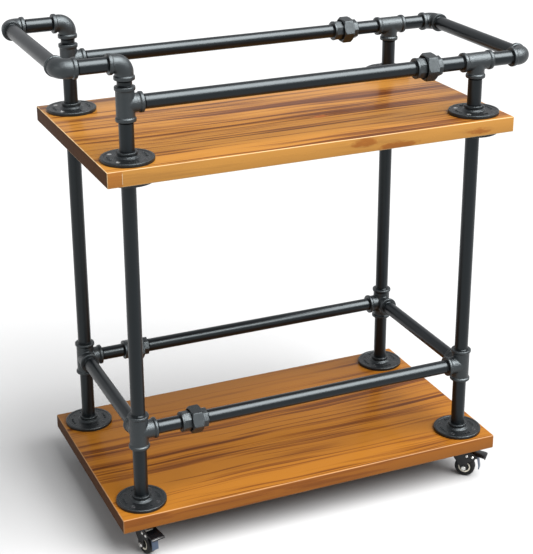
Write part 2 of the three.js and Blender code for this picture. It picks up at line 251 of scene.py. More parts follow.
class Nodes:
    """A material's node tree with short calls for the nodes used below."""

    def __init__(self, name):
        self.material = bpy.data.materials.new(name)
        self.material.use_nodes = True
        self.tree = self.material.node_tree
        self.shader = self.tree.nodes["Principled BSDF"]
        self.place = self.add("ShaderNodeTexCoord").outputs["Object"]

    def add(self, kind, **settings):
        node = self.tree.nodes.new(kind)
        for key, value in settings.items():
            setattr(node, key, value)
        return node

    def feed(self, socket, value):
        if isinstance(value, bpy.types.NodeSocket):
            self.tree.links.new(value, socket)
        else:
            socket.default_value = value

    def math(self, operation, *values):
        node = self.add("ShaderNodeMath", operation=operation)
        for socket, value in zip(node.inputs, values):
            self.feed(socket, value)
        return node.outputs[0]

    def plus(self, first, *others):
        for other in others:
            first = self.math("ADD", first, other)
        return first

    def minus(self, first, second):
        return self.math("SUBTRACT", first, second)

    def times(self, first, second):
        return self.math("MULTIPLY", first, second)

    def absolute(self, value):
        return self.math("ABSOLUTE", value)

    def split(self, vector):
        node = self.add("ShaderNodeSeparateXYZ")
        self.feed(node.inputs[0], vector)
        return node.outputs

    def scaled(self, scale, vector=None):
        node = self.add("ShaderNodeMapping")
        node.inputs["Scale"].default_value = scale
        self.feed(node.inputs["Vector"], self.place if vector is None else vector)
        return node.outputs[0]

    def noise(self, vector, scale=1.0, detail=3.0, roughness=0.55):
        node = self.add("ShaderNodeTexNoise")
        self.feed(node.inputs["Vector"], vector)
        node.inputs["Scale"].default_value = scale
        node.inputs["Detail"].default_value = detail
        node.inputs["Roughness"].default_value = roughness
        return node.outputs["Fac"]

    def spread(self, value, start, end, low_value=0.0, high_value=1.0):
        """A smooth step from low_value at start to high_value at end."""
        node = self.add("ShaderNodeMapRange", interpolation_type="SMOOTHSTEP")
        for socket, item in zip(node.inputs, (value, start, end, low_value, high_value)):
            self.feed(socket, item)
        return node.outputs[0]

    def ramp(self, value, stops):
        node = self.add("ShaderNodeValToRGB")
        elements = node.color_ramp.elements
        while len(elements) < len(stops):
            elements.new(0.5)
        for element, (position, colour) in zip(elements, stops):
            element.position = position
            element.color = (*colour, 1)
        self.feed(node.inputs[0], value)
        return node.outputs[0]

    def mix(self, amount, first, second):
        """A colour between two others; sockets 6 and 7 and output 2 are the node's colour ones."""
        node = self.add("ShaderNodeMix", data_type="RGBA")
        self.feed(node.inputs[0], amount)
        for socket, colour in ((node.inputs[6], first), (node.inputs[7], second)):
            self.feed(socket, (*colour, 1) if isinstance(colour, tuple) else colour)
        return node.outputs[2]

    def bump(self, height, distance):
        node = self.add("ShaderNodeBump")
        node.inputs["Strength"].default_value = 1.0
        node.inputs["Distance"].default_value = distance
        self.feed(node.inputs["Height"], height)
        self.feed(self.shader.inputs["Normal"], node.outputs[0])

    def set(self, **values):
        """Sets the shader's sockets by name, with an underscore for a space."""
        names = {"Specular": "Specular IOR Level"}
        for key, value in values.items():
            self.feed(self.shader.inputs[names.get(key, key.replace("_", " "))], value)


# How far a fine and a broad pattern move a finish's roughness from end to end.
SPECK_WEAR = 0.14
CLOUD_WEAR = 0.08
BLUE_SHEEN = (0.86, 0.96, 1, 1)


def tinted(colour, factor):
    return tuple(min(1, channel * factor) for channel in colour)


def black_metal(name, colour, roughness, grain, relief, specular):
    """Black coated iron: a dark blue-grey that varies a little, with a fine cast or drawn grain."""
    n = Nodes(name)
    cloud = n.noise(n.place, scale=34)
    speck = n.noise(n.place, scale=grain, detail=4, roughness=0.65)
    wear = n.plus(n.times(speck, SPECK_WEAR), n.times(cloud, CLOUD_WEAR))
    smoothest = roughness - (SPECK_WEAR + CLOUD_WEAR) / 2
    n.set(Base_Color=n.mix(cloud, tinted(colour, 0.8), tinted(colour, 1.25)))
    n.set(Roughness=n.plus(wear, smoothest), Specular=specular, Specular_Tint=BLUE_SHEEN)
    n.bump(speck, relief)
    return n.material


def plain(name, colour, roughness, metallic=0.0, grain=900, relief=0.00002, specular=0.5):
    """A simple finish whose roughness and tone still vary slightly over the surface."""
    n = Nodes(name)
    speck = n.noise(n.place, scale=grain, detail=2)
    cloud = n.noise(n.place, scale=70, detail=2)
    wear = n.times(speck, SPECK_WEAR)
    n.set(Base_Color=n.mix(cloud, tinted(colour, 0.85), tinted(colour, 1.15)))
    n.set(Roughness=n.plus(wear, roughness - SPECK_WEAR / 2), Metallic=metallic, Specular=specular)
    n.bump(speck, relief)
    return n.material


# -------- wood

PLANKS = 3

# Streaks: how quickly they change along X, how fine they are across it, and their detail.
BANDS = (1.5, 24, 3)
RINGS = (0.9, 95, 3)
PALE_LINES = (0.7, 170, 2)
FIBRES = (6.0, 420, 3)
PORES = (40.0, 1500, 2)

# How much each of them weighs in the tone, and the tones where the three stain colours sit.
BAND_TONE = 0.95
PLANK_TONE = 0.14
FIBRE_TONE = 0.22
TONE_LIFT = 0.075
DARK_AT, MID_AT, LIGHT_AT = 0.47, 0.60, 0.73

GRAIN_SWAY = 0.055
GRAIN_RELIEF = 0.12 * MM
KNOT_BEND = 0.012
KNOT_RAGGED = 5.0
KNOT_TINT = (2.1, 1.7, 1.2)
END_GRAIN_AND_SHADE_DARK = (0.018, 0.0075, 0.0035)
END_GRAIN_AND_SHADE_LIGHT = (0.070, 0.030, 0.014)
END_PIECE = (0.21, 0.064, 0.010)
END_GLUE = (0.36, 0.27, 0.17)
GLUE_HALF_HEIGHT = 10.5 * MM
LACQUER = 0.10
LACQUER_ROUGHNESS = 0.27
BARE_ROUGHNESS = 0.35


def plank_shade(n, across):
    """A random value for each plank, so neither tone nor grain carries across a glue line."""
    seat = n.add("ShaderNodeTexWhiteNoise", noise_dimensions="1D")
    n.feed(seat.inputs["W"], n.plus(n.math("FLOOR", across), 3.7))
    return seat.outputs["Value"]


def knot_field(n, spot, knots):
    """A ragged mask of the knots, and how far the grain bends round them."""
    ragged = n.minus(n.noise(n.scaled((45, 140, 140))), 0.5)
    mask, bend = 0.0, 0.0
    for *knot, long, wide in knots:
        away = [n.minus(coordinate, at) for coordinate, at in zip(spot, knot)]
        share = [n.math("DIVIDE", distance, half) for distance, half in zip(away, (long, wide, wide))]
        square = n.plus(*[n.times(part, part) for part in share])
        near = n.math("EXPONENT", n.times(square, -1.0))
        torn = n.plus(square, n.times(ragged, KNOT_RAGGED))
        mask = n.math("MAXIMUM", mask, n.spread(torn, 1.9, 0.3))
        bend = n.plus(bend, n.times(near, KNOT_BEND))
    return mask, bend


def grain_space(n, x, y, z, own, bend):
    """Coordinates in which the grain runs straight, although on the board it sways and bends."""
    warp = n.noise(n.scaled((1.6, 5, 5)), detail=2)
    sway = n.times(n.minus(warp, 0.5), GRAIN_SWAY)
    place = n.add("ShaderNodeCombineXYZ")
    n.feed(place.inputs[0], n.plus(n.times(x, 1.1), n.times(own, 9.0)))
    n.feed(place.inputs[1], n.plus(y, sway, bend))
    n.feed(place.inputs[2], n.times(n.plus(z, bend), 0.8))
    return place.outputs[0]


def streaks(n, place, along, across, detail):
    """Noise drawn out along the grain."""
    return n.noise(n.scaled((along, across, across), place), detail=detail, roughness=0.6)


def side_piece(n, colour, dx, dz, front_face, joint_x):
    """A darker end piece on the front edge, beyond a pale glued joint."""
    away = n.minus(dx, joint_x)
    beyond = n.times(n.spread(away, 0.001, -0.001), n.times(front_face, 0.55))
    colour = n.mix(beyond, colour, END_PIECE)
    glue = n.times(n.spread(n.absolute(away), 0.0008, 0.0003), front_face)
    glue = n.times(glue, n.spread(n.absolute(dz), GLUE_HALF_HEIGHT, GLUE_HALF_HEIGHT - 1 * MM))
    return n.mix(glue, colour, END_GLUE)


def worn_and_highlit_edges(n, spot, size, width):
    """Where two faces meet, the sanded edge is rubbed through in patches; the same mask also lays a
    painted highlight along the edge.
    """
    gaps = [n.minus(n.absolute(coordinate), side / 2) for coordinate, side in zip(spot, size)]
    pairs = [n.math("MINIMUM", gaps[i], gaps[j]) for i, j in ((0, 1), (1, 2), (0, 2))]
    nearest = n.math("MAXIMUM", n.math("MAXIMUM", pairs[0], pairs[1]), pairs[2])
    patchy = n.spread(n.noise(n.scaled((14, 60, 60))), 0.25, 0.6, 0.55, 1)
    return n.times(n.spread(nearest, -width, -width * 0.25), patchy)


def wood(name, board, tones, stripes, worn_edge_highlight_colour, edge_width, front_painted_lift, knots=(), butt_joint=None):
    """Stained and lacquered softwood with its grain along X, glued up from planks side by side.

    tones are the dark, middle and light stain colours; stripes says how strongly the late wood shows.
    front_painted_lift is painted light on the front face, which the overhead light leaves in shade: how
    far that face turns toward a paler colour, and that colour. knots are (x, y, z, half length, half
    width) from the board's middle; butt_joint is the x of a glued end joint that shows on the front edge."""
    n = Nodes(name)
    dark, mid, light = tones
    size, centre = high(board) - low(board), middle(board)
    x, y, z = n.split(n.place)
    dx, dz = n.minus(x, centre.x), n.minus(z, centre.z)
    spot = (dx, y, dz)
    across = n.times(n.plus(y, size.y / 2), PLANKS / size.y)
    own = plank_shade(n, across)
    knot_mask, bend = knot_field(n, spot, knots)

    place = grain_space(n, x, y, z, own, bend)
    late = n.spread(streaks(n, place, *RINGS), 0.50, 0.58)
    early = n.spread(streaks(n, place, *PALE_LINES), 0.54, 0.62)
    fine = streaks(n, place, *FIBRES)
    tone = n.plus(n.times(streaks(n, place, *BANDS), BAND_TONE), n.times(own, PLANK_TONE), TONE_LIFT)
    tone = n.plus(tone, n.times(late, -stripes), n.times(early, stripes * 0.7))
    tone = n.plus(tone, n.times(fine, FIBRE_TONE))
    colour = n.ramp(tone, [(DARK_AT, dark), (MID_AT, mid), (LIGHT_AT, light)])

    facing = n.split(n.add("ShaderNodeNewGeometry").outputs["Normal"])
    end_face = n.spread(n.absolute(facing[0]), 0.5, 0.9)
    front_face = n.spread(n.absolute(facing[1]), 0.5, 0.9)
    # Painted light: the front faces, left in shade by the overhead light, are turned toward a paler
    # colour.
    painted_lift, painted_lift_colour = front_painted_lift
    colour = n.mix(n.times(front_face, painted_lift), colour, painted_lift_colour)
    knot_colour = tuple(channel * tint for channel, tint in zip(mid, KNOT_TINT))
    colour = n.mix(n.times(knot_mask, 0.65), colour, knot_colour)
    # The end faces take a darker colour: partly end grain soaking up more stain, partly painted shade on
    # the ends.
    end_grain_and_shade = n.mix(n.noise(n.scaled((60, 260, 900))), END_GRAIN_AND_SHADE_DARK, END_GRAIN_AND_SHADE_LIGHT)
    colour = n.mix(n.times(end_face, 0.95), colour, end_grain_and_shade)
    if butt_joint is not None:
        colour = side_piece(n, colour, dx, dz, front_face, butt_joint)
    rubbed_and_highlit = worn_and_highlit_edges(n, spot, size, edge_width)
    # The pale edge colour is partly real wear and partly a painted highlight along the edge.
    colour = n.mix(n.times(rubbed_and_highlit, 0.8), colour, worn_edge_highlight_colour)
    from_seam = n.absolute(n.minus(n.math("FRACT", n.plus(across, 0.5)), 0.5))
    colour = n.mix(n.spread(from_seam, 0.001, 0.006, 0.35, 0), colour, tinted(dark, 0.5))

    # Lacquer lies on the faces, and is missing from the end grain and the rubbed edges.
    bare = n.math("MAXIMUM", end_face, rubbed_and_highlit)
    n.set(Base_Color=colour, Specular=0.06, Coat_Roughness=0.14)
    n.set(Roughness=n.plus(n.times(fine, 0.2), LACQUER_ROUGHNESS, n.times(bare, BARE_ROUGHNESS)))
    n.set(Coat_Weight=n.minus(LACQUER, n.times(bare, LACQUER)))
    pores = n.times(streaks(n, place, *PORES), 0.4)
    n.bump(n.plus(n.times(fine, 0.7), pores, n.times(late, 0.5)), GRAIN_RELIEF)
    return n.material


# -------- finishes

PIPE_BLACK = black_metal("pipe_black", (0.0005, 0.0010, 0.0016), 0.32, 900, 0.00003, specular=0.32)
CAST_IRON = black_metal("cast_iron", (0.0016, 0.0021, 0.0026), 0.40, 700, 0.00055, specular=0.58)
FLANGE_IRON = black_metal("flange_iron", (0.0010, 0.0012, 0.0015), 0.34, 420, 0.00085, specular=0.42)
STAMPED = plain("stamped_black", (0.0016, 0.0017, 0.0022), 0.24, grain=700, relief=0.00003, specular=0.35)
ZINC = plain("zinc", (0.62, 0.62, 0.6), 0.28, metallic=1.0)
SHOE_ZINC = plain("shoe_zinc", (0.085, 0.11, 0.155), 0.34, metallic=0.9)
SCREW_BLACK = plain("screw_black", (0.05, 0.05, 0.052), 0.38, metallic=0.85)
RUBBER = plain("tyre_rubber", (0.0025, 0.0025, 0.0026), 0.5, grain=1300, relief=0.00005, specular=0.25)
CREAM = plain("hub_ring", (0.5, 0.47, 0.39), 0.4)
HUB_BLACK = plain("hub_black", (0.004, 0.004, 0.0045), 0.42, specular=0.3)
UPPER_WOOD = wood(
    "upper_wood",
    "upper_board",
    tones=((0.041, 0.0100, 0.0011), (0.080, 0.0250, 0.0038), (0.190, 0.081, 0.0125)),
    stripes=0.15,
    worn_edge_highlight_colour=(0.50, 0.37, 0.21),
    edge_width=1.6 * MM,
    front_painted_lift=(0.6, (0.40, 0.200, 0.048)),
    knots=(
        (0.085, -0.225, 0.004, 0.02, 0.007),
        (0.155, -0.225, -0.010, 0.035, 0.007),
        (0.325, -0.225, -0.004, 0.022, 0.006),
        (0.07, -0.07, 0.0145, 0.012, 0.006),
    ),
    butt_joint=-0.373,
)
LOWER_WOOD = wood(
    "lower_wood",
    "lower_board",
    tones=((0.046, 0.0120, 0.0012), (0.092, 0.0285, 0.0030), (0.155, 0.058, 0.0055)),
    stripes=0.17,
    worn_edge_highlight_colour=(0.26, 0.155, 0.078),
    edge_width=2.2 * MM,
    front_painted_lift=(0.5, (0.195, 0.066, 0.014)),
)


# -------- mesh helpers

SAME_PLACE = 1e-6
NEARLY_STRAIGHT = math.pi - 0.05
SHARP = 32


def in_mm(*points):
    """Points given in millimetres."""
    return [tuple(value * MM for value in point) for point in points]


def eased(points, radius):
    """Points given in millimetres, each with the same corner radius."""
    return in_mm(*[(px, pz, radius) for px, pz in points])


def rounded(points, steps=4, closed=True):
    """The outline of (x, z, corner radius) points with its corners replaced by arcs.

    An open outline keeps its two ends, which lie on the axis of a turned shape."""
    result = []
    count = len(points)
    for i, (px, pz, radius) in enumerate(points):
        here = Vector((px, pz))
        before = Vector(points[i - 1][:2]) - here
        after = Vector(points[(i + 1) % count][:2]) - here
        if radius <= 0 or (not closed and i in (0, count - 1)) or before.angle(after) > NEARLY_STRAIGHT:
            result.append(tuple(here))
            continue
        reach = radius / math.tan(before.angle(after) / 2)
        reach = min(reach, before.length * 0.49, after.length * 0.49)
        start = here + before.normalized() * reach
        end = here + after.normalized() * reach
        for k in range(steps + 1):
            t = k / steps
            bow = start * (1 - t) ** 2 + here * 2 * t * (1 - t) + end * t**2
            result.append(tuple(bow))
    return result


def grid_mesh(name, rings, closed):
    """A surface through rings of points; closed says whether the last ring meets the first."""
    mesh = bpy.data.meshes.new(name)
    size = len(rings[0])
    points = [p for ring in rings for p in ring]
    faces = []
    spans = len(rings) if closed else len(rings) - 1
    for i in range(spans):
        a, b = i * size, ((i + 1) % len(rings)) * size
        for j in range(size):
            k = (j + 1) % size
            faces.append((a + j, a + k, b + k, b + j))
    mesh.from_pydata(points, [], faces)
    return tidy(mesh)


def mesh_from(bm, name):
    mesh = bpy.data.meshes.new(name)
    bm.to_mesh(mesh)
    bm.free()
    return mesh


def tidy(mesh, sharp=SHARP):
    """Welds doubles, turns the faces outwards and shades smooth between gentle angles."""
    bm = bmesh.new()
    bm.from_mesh(mesh)
    bmesh.ops.remove_doubles(bm, verts=bm.verts, dist=SAME_PLACE)
    bmesh.ops.dissolve_degenerate(bm, edges=bm.edges, dist=SAME_PLACE / 10)
    bmesh.ops.recalc_face_normals(bm, faces=bm.faces)
    bm.to_mesh(mesh)
    bm.free()
    mesh.shade_smooth()
    mesh.set_sharp_from_angle(angle=math.radians(sharp))
    return mesh


def lathe(name, profile, sides=ROUND, closed=True):
    """A profile of (radius, height) pairs turned about Z."""
    rings = []
    for radius, height in profile:
        ring = []
        for j in range(sides):
            a = 2 * math.pi * j / sides
            ring.append((radius * math.cos(a), radius * math.sin(a), height))
        rings.append(ring)
    return grid_mesh(name, rings, closed)


def solid_lathe(name, profile, sides=ROUND):
    """A turned solid whose profile starts and ends on the axis."""
    return lathe(name, profile, sides, closed=False)


def prism(name, outline, depth, bevel=0.0):
    """An outline in XZ given a depth centred on Y, with its edges rounded."""
    bm = bmesh.new()
    near = [bm.verts.new((px, -depth / 2, pz)) for px, pz in outline]
    far = [bm.verts.new((px, depth / 2, pz)) for px, pz in outline]
    bm.faces.new(near)
    bm.faces.new(far[::-1])
    for i in range(len(outline)):
        j = (i + 1) % len(outline)
        bm.faces.new((near[i], far[i], far[j], near[j]))
    bmesh.ops.recalc_face_normals(bm, faces=bm.faces)
    if bevel:
        rims = [e for e in bm.edges if abs(e.verts[0].co.y - e.verts[1].co.y) < SAME_PLACE]
        settings = {"segments": 2, "profile": 0.5, "affect": "EDGES", "clamp_overlap": True}
        bmesh.ops.bevel(bm, geom=rims, offset=bevel, **settings)
    return tidy(mesh_from(bm, name))


def polygon_rod(name, sides, radius, start, end, turn, bevel):
    """A prism with flat sides along Z, its corner circle of the given radius, with eased edges."""
    bm = bmesh.new()
    bottom, top = [], []
    for i in range(sides):
        a = 2 * math.pi * i / sides + turn
        for ring, height in ((bottom, start), (top, end)):
            ring.append(bm.verts.new((radius * math.cos(a), radius * math.sin(a), height)))
    bm.faces.new(bottom[::-1])
    bm.faces.new(top)
    for i in range(sides):
        j = (i + 1) % sides
        bm.faces.new((bottom[i], bottom[j], top[j], top[i]))
    bmesh.ops.bevel(bm, geom=bm.edges[:], offset=bevel, segments=3, profile=0.5, affect="EDGES")
    return tidy(mesh_from(bm, name))


def evaluated(mesh, *modifiers):
    """The mesh after a list of (kind, settings) modifiers."""
    thing = bpy.data.objects.new("work", mesh)
    bpy.context.scene.collection.objects.link(thing)
    for kind, settings in modifiers:
        modifier = thing.modifiers.new(kind, kind)
        for key, value in settings.items():
            setattr(modifier, key, value)
    graph = bpy.context.evaluated_depsgraph_get()
    result = bpy.data.meshes.new_from_object(thing.evaluated_get(graph))
    bpy.data.objects.remove(thing)
    return result


def boolean(mesh, tools, operation="DIFFERENCE", sharp=SHARP):
    """Cuts, joins or intersects a mesh with each of the tools in turn."""
    for tool in tools:
        holder = bpy.data.objects.new("tool", tool)
        bpy.context.scene.collection.objects.link(holder)
        settings = {"operation": operation, "object": holder, "solver": "EXACT"}
        mesh = evaluated(mesh, ("BOOLEAN", settings))
        bpy.data.objects.remove(holder)
    return tidy(mesh, sharp)


def turned(mesh, matrix):
    """A copy of the mesh, moved or turned."""
    copy = mesh.copy()
    copy.transform(matrix)
    return copy


def together(name, meshes):
    """One mesh that holds several meshes."""
    bm = bmesh.new()
    for mesh in meshes:
        bm.from_mesh(mesh)
    return mesh_from(bm, name)


def toward(direction):
    """The turn that takes +Z to a direction."""
    return direction.to_track_quat("Z", "Y").to_matrix().to_4x4()


def axes(new_x, new_y):
    """The turn that takes +X and +Y to two given directions."""
    return Matrix((new_x, new_y, new_x.cross(new_y))).transposed().to_4x4()


def piece(name, mesh, matrix, material, body, nodes=()):
    """Puts a copy of the mesh in the scene, on a body, and in place of CAD nodes if it says which."""
    mesh = turned(mesh, matrix)
    mesh.name = name
    mesh.materials.clear()
    mesh.materials.append(material)
    thing = bpy.data.objects.new(name, mesh)
    bpy.context.scene.collection.objects.link(thing)
    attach(thing, body)
    if nodes:
        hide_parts(*nodes)


# -------- boards


def board(name, material, easing, steps):
    """A board as large as its CAD node, with eased edges."""
    bm = bmesh.new()
    bmesh.ops.create_cube(bm, size=1)
    size = high(name) - low(name)
    bmesh.ops.scale(bm, vec=size, verts=bm.verts)
    bmesh.ops.bevel(bm, geom=bm.edges[:], offset=easing, segments=steps, profile=0.5, affect="EDGES")
    mesh = tidy(mesh_from(bm, name), sharp=60)
    place = Matrix.Translation(middle(name))
    piece(f"{name}_panel", mesh, place, material, "root", [name])


# -------- pipes


def thread_profile(start, inward):
    """Ridges that stand for a thread, from one end of a pipe, as (radius, height) pairs."""
    length = THREAD_DEPTH + THREAD_SHOWN
    turns = int(length / THREAD_PITCH)
    points = [(PIPE_R - THREAD_HEIGHT - THREAD_CHAMFER, start)]
    for i in range(turns):
        foot = start + inward * (i + 0.25) * THREAD_PITCH
        crest = start + inward * (i + 0.75) * THREAD_PITCH
        taper = (turns - i) * THREAD_PITCH * THREAD_TAPER
        points.append((PIPE_R - THREAD_HEIGHT - taper, foot))
        points.append((PIPE_R - taper, crest))
    points.append((PIPE_R, start + inward * (length + THREAD_PITCH)))
    return points


def pipe(name, start, end, nodes):
    """A threaded pipe between two points."""
    run = end - start
    outside = thread_profile(0, 1) + thread_profile(run.length, -1)[::-1]
    inside = [(PIPE_BORE, run.length), (PIPE_BORE, 0)]
    mesh = lathe(name, outside + inside)
    matrix = Matrix.Translation(start) @ toward(run.normalized())
    piece(name, mesh, matrix, PIPE_BLACK, "root", nodes)


def straight_pipe(node):
    """A pipe that fills a straight pipe node, along the node's longest side."""
    size = high(node) - low(node)
    axis = max(range(3), key=lambda i: size[i])
    start, end = middle(node), middle(node)
    start[axis], end[axis] = low(node)[axis], high(node)[axis]
    pipe(f"{node}_pipe", start, end, [node])


# -------- fittings


def elbow_path(distance):
    """The point and the heading of an elbow's middle line, which runs from +X round to +Y."""
    into_bend = distance - ELBOW_STRAIGHT
    if into_bend <= 0:
        return Vector((ELBOW_REACH - distance, 0, 0)), -X
    if into_bend >= ELBOW_ARC:
        return Vector((0, ELBOW_BEND + into_bend - ELBOW_ARC, 0)), Y
    a = into_bend / ELBOW_BEND
    point = Vector((1 - math.sin(a), 1 - math.cos(a), 0)) * ELBOW_BEND
    return point, Vector((-math.cos(a), math.sin(a), 0))


def sweep(name, path, loop):
    """A closed loop of (distance, radius) pairs carried along a flat path in XY."""
    rings = []
    for distance, radius in loop:
        point, heading = path(distance)
        across = heading.cross(Z)
        ring = []
        for j in range(ROUND):
            a = 2 * math.pi * j / ROUND
            ring.append(tuple(point + (across * math.cos(a) + Z * math.sin(a)) * radius))
        rings.append(ring)
    return grid_mesh(name, rings, True)


def elbow_mesh():
    """A 90 degree elbow that opens toward +X and +Y, with a bead round each socket."""
    total = 2 * ELBOW_STRAIGHT + ELBOW_ARC
    bead = [
        (0, SOCKET_R, 0),
        (0, BEAD_R, 1.6 * MM),
        (BEAD_W, BEAD_R, 1.8 * MM),
        (BEAD_W + BEAD_SLOPE, BODY_R, 1.2 * MM),
        (ELBOW_STRAIGHT, BODY_R, 0),
    ]
    bead = rounded(bead, closed=False)
    outer_steps, inner_steps = 14, 6
    bend = []
    for k in range(1, outer_steps):
        swell = ELBOW_SWELL * math.sin(math.pi * k / outer_steps)
        bend.append((ELBOW_STRAIGHT + ELBOW_ARC * k / outer_steps, BODY_R + swell))
    far_bead = [(total - distance, radius) for distance, radius in bead][::-1]
    seat = THREAD_DEPTH + 0.5 * MM
    inside = [(total - seat, SOCKET_R), (total - seat, PIPE_BORE)]
    for k in range(inner_steps - 1, 0, -1):
        inside.append((ELBOW_STRAIGHT + ELBOW_ARC * k / inner_steps, PIPE_BORE))
    inside += [(seat, PIPE_BORE), (seat, SOCKET_R)]
    return sweep("elbow", elbow_path, bead + bend + far_bead + inside)


def arm_mesh(reach, body, bead, width):
    """The outside of one arm of a tee, along +Z from its middle to its beaded end."""
    outline = [
        (0, 0, 0),
        (body, 0, 0),
        (body, reach - width - BEAD_SLOPE, 1.0 * MM),
        (bead, reach - width, 1.6 * MM),
        (bead, reach, 1.5 * MM),
        (0, reach, 0),
    ]
    return solid_lathe("arm", rounded(outline, closed=False))


def rod(name, radius, start, end, sides=ROUND):
    """A plain round rod along Z."""
    return solid_lathe(name, [(0, start), (radius, start), (radius, end), (0, end)], sides)


def tee_mesh(name, reach, run, outlets, body=BODY_R, bead=BEAD_R, width=BEAD_W):
    """A cast tee: its arms are fused with soft corners and then bored."""
    arms = [turned(arm_mesh(reach, body, bead, width), toward(d)) for d in (run, -run, *outlets)]
    core = turned(rod("core", body, -body, body), toward(run))
    blank = together(name, [*arms, core])
    voxels = {"mode": "VOXEL", "voxel_size": TEE_VOXEL, "use_smooth_shade": True}
    cast = evaluated(blank, ("REMESH", voxels), ("SMOOTH", {"factor": 0.5, "iterations": 3}))
    past = reach * 1.2
    bores = [turned(rod("bore", SOCKET_R, -past, past), toward(run))]
    bores += [turned(rod("bore", BRANCH_BORE, 0, past), toward(d)) for d in outlets]
    return boolean(cast, bores, sharp=45)


def casting(name, mesh, place, turn, node):
    piece(name, mesh, Matrix.Translation(place) @ turn, CAST_IRON, "root", [node])


def top_fittings(elbow, tee):
    """On each side the handle's two elbows, the cross bar's elbow, a close nipple and two tees."""
    for side, inward in (("front", Y), ("rear", -Y)):
        handle = middle(f"handle_arm_{side}")
        cross = middle(f"cross_bar_arm_{side}")
        rail = middle(f"top_rail_{side}")
        over = Vector((high(f"handle_arm_{side}").x + ELBOW_REACH - THREAD_DEPTH, handle.y, handle.z))
        left = Vector((low("handle_bar").x + PIPE_R, handle.y, handle.z))
        right = Vector((high("cross_bar").x - PIPE_R, cross.y, cross.z))
        left_tee = Vector((over.x, rail.y, rail.z))
        right_tee = Vector((low(f"cross_bar_arm_{side}").x + THREAD_DEPTH - TEE_REACH, rail.y, rail.z))

        node = f"handle_corner_{side}"
        casting(f"{node}_elbow", elbow, left, axes(X, inward), node)
        node = f"cross_bar_corner_{side}"
        turn = axes(-X, inward) if side == "rear" else axes(inward, -X)
        casting(f"{node}_elbow", elbow, right, turn, node)
        node = f"handle_elbow_{side}"
        casting(f"{node}_upper", elbow, over, axes(-X, -Z), node)
        nipple_top = over - Z * (ELBOW_REACH - THREAD_DEPTH)
        nipple_foot = left_tee + Z * (TEE_REACH - THREAD_DEPTH)
        pipe(f"close_nipple_{side}", nipple_foot, nipple_top, [node])
        node = f"rail_tee_{side}_left"
        casting(f"{node}_casting", tee, left_tee, axes(Z, X), node)
        node = f"rail_tee_{side}_right"
        casting(f"{node}_casting", tee, right_tee, axes(X, -Z), node)


def lower_fittings(side_tee):
    """The four side-outlet tees, whose two branches point along the cart's sides."""
    turns = {
        "front_left": axes(X, Y),
        "front_right": axes(Y, -X),
        "rear_right": axes(-X, -Y),
        "rear_left": axes(-Y, X),
    }
    for corner, turn in turns.items():
        node = f"side_outlet_tee_{corner}"
        post = middle(f"post_{corner}")
        casting(f"{node}_casting", side_tee, (post.x, post.y, middle(node).z), turn, node)


# -------- flanges and their screws


def flange_mesh():
    """A cast floor flange on z = 0 with a raised hub and four countersunk holes."""
    outline = [
        (FLANGE_BORE, 0.4 * MM, 0),
        (FLANGE_BORE, 0, 0),
        (FLANGE_R, 0, 0.8 * MM),
        (FLANGE_R, FLANGE_T, 1.8 * MM),
        (FLANGE_R - 5 * MM, FLANGE_T, 0.6 * MM),
        (FLANGE_R - 6 * MM, FLANGE_T - 0.7 * MM, 0.6 * MM),
        (BEAD_R + 4.5 * MM, FLANGE_T - 0.4 * MM, 3.5 * MM),
        (FLANGE_NECK, FLANGE_T + 3.2 * MM, 1.5 * MM),
        (FLANGE_NECK, FLANGE_H - 6.0 * MM, 0.8 * MM),
        (BEAD_R, FLANGE_H - 5.2 * MM, 1.0 * MM),
        (BEAD_R, FLANGE_H, 1.5 * MM),
        (FLANGE_BORE, FLANGE_H, 0.5 * MM),
    ]
    body = lathe("flange", rounded(outline), FINE_ROUND)
    seat = FLANGE_T - 0.2 * MM
    under, over = -1 * MM, FLANGE_T + 2 * MM
    sink = [
        (0, under),
        (SCREW_HOLE_R, under),
        (SCREW_HOLE_R, seat - 2.6 * MM),
        (SINK_R, seat),
        (SINK_R, over),
        (0, over),
    ]
    hole = solid_lathe("sink", sink, SMALL_ROUND)
    body = boolean(body, [turned(hole, place) for place in screw_places()])
    return boolean(body, [cast_marks()], "UNION")


def cast_marks():
    """Groups of plain raised bars between the screw holes."""
    bars = []
    top, root = FLANGE_T + 0.5 * MM, FLANGE_T - 2 * MM
    draft = 0.3 * MM
    for quarter in range(4):
        for i, (length, turn) in enumerate(((5.2, 0), (3.4, 0), (5.2, 0), (2.6, 90), (5.2, 0))):
            a = quarter * math.pi / 2 + (i - 2) * MARK_STEP
            half = length / 2 * MM
            outline = [(-half, root), (half, root), (half - draft, top), (draft - half, top)]
            bar = prism("bar", outline, MARK_WIDTH, 0.55 * MM)
            spot = Matrix.Rotation(a, 4, "Z") @ Matrix.Translation((SCREW_CIRCLE - 1 * MM, 0, 0))
            bars.append(turned(bar, spot @ Matrix.Rotation(math.radians(turn), 4, "Z")))
    return together("marks", bars)


def screw_places():
    places = []
    for i in range(4):
        a = (i + 0.5) * math.pi / 2
        places.append(Matrix.Translation((SCREW_CIRCLE * math.cos(a), SCREW_CIRCLE * math.sin(a), 0)))
    return places


def screw_mesh():
    """A flat-head screw with a cross recess; its head sits in the flange's countersink."""
    top, tip = FLANGE_T - 0.5 * MM, 0.3 * MM
    outline = [
        (0, top + 0.25 * MM, 0),
        (SCREW_HEAD_R * 0.6, top + 0.15 * MM, 0),
        (SCREW_HEAD_R, top - 0.2 * MM, 0.3 * MM),
        (SCREW_SHANK_R, top - 2.5 * MM, 0.4 * MM),
        (SCREW_SHANK_R, tip, 0),
        (0, tip, 0),
    ]
    body = solid_lathe("screw", rounded(outline, 2, closed=False), SMALL_ROUND)
    recess = [(-2.3, 1), (2.3, 1), (1.2, -1.4), (-1.2, -1.4)]
    bar = prism("slot", [(px * MM, top + pz * MM) for px, pz in recess], 0.9 * MM)
    return boolean(body, [turned(bar, Matrix.Rotation(a, 4, "Z")) for a in (0, math.pi / 2)])


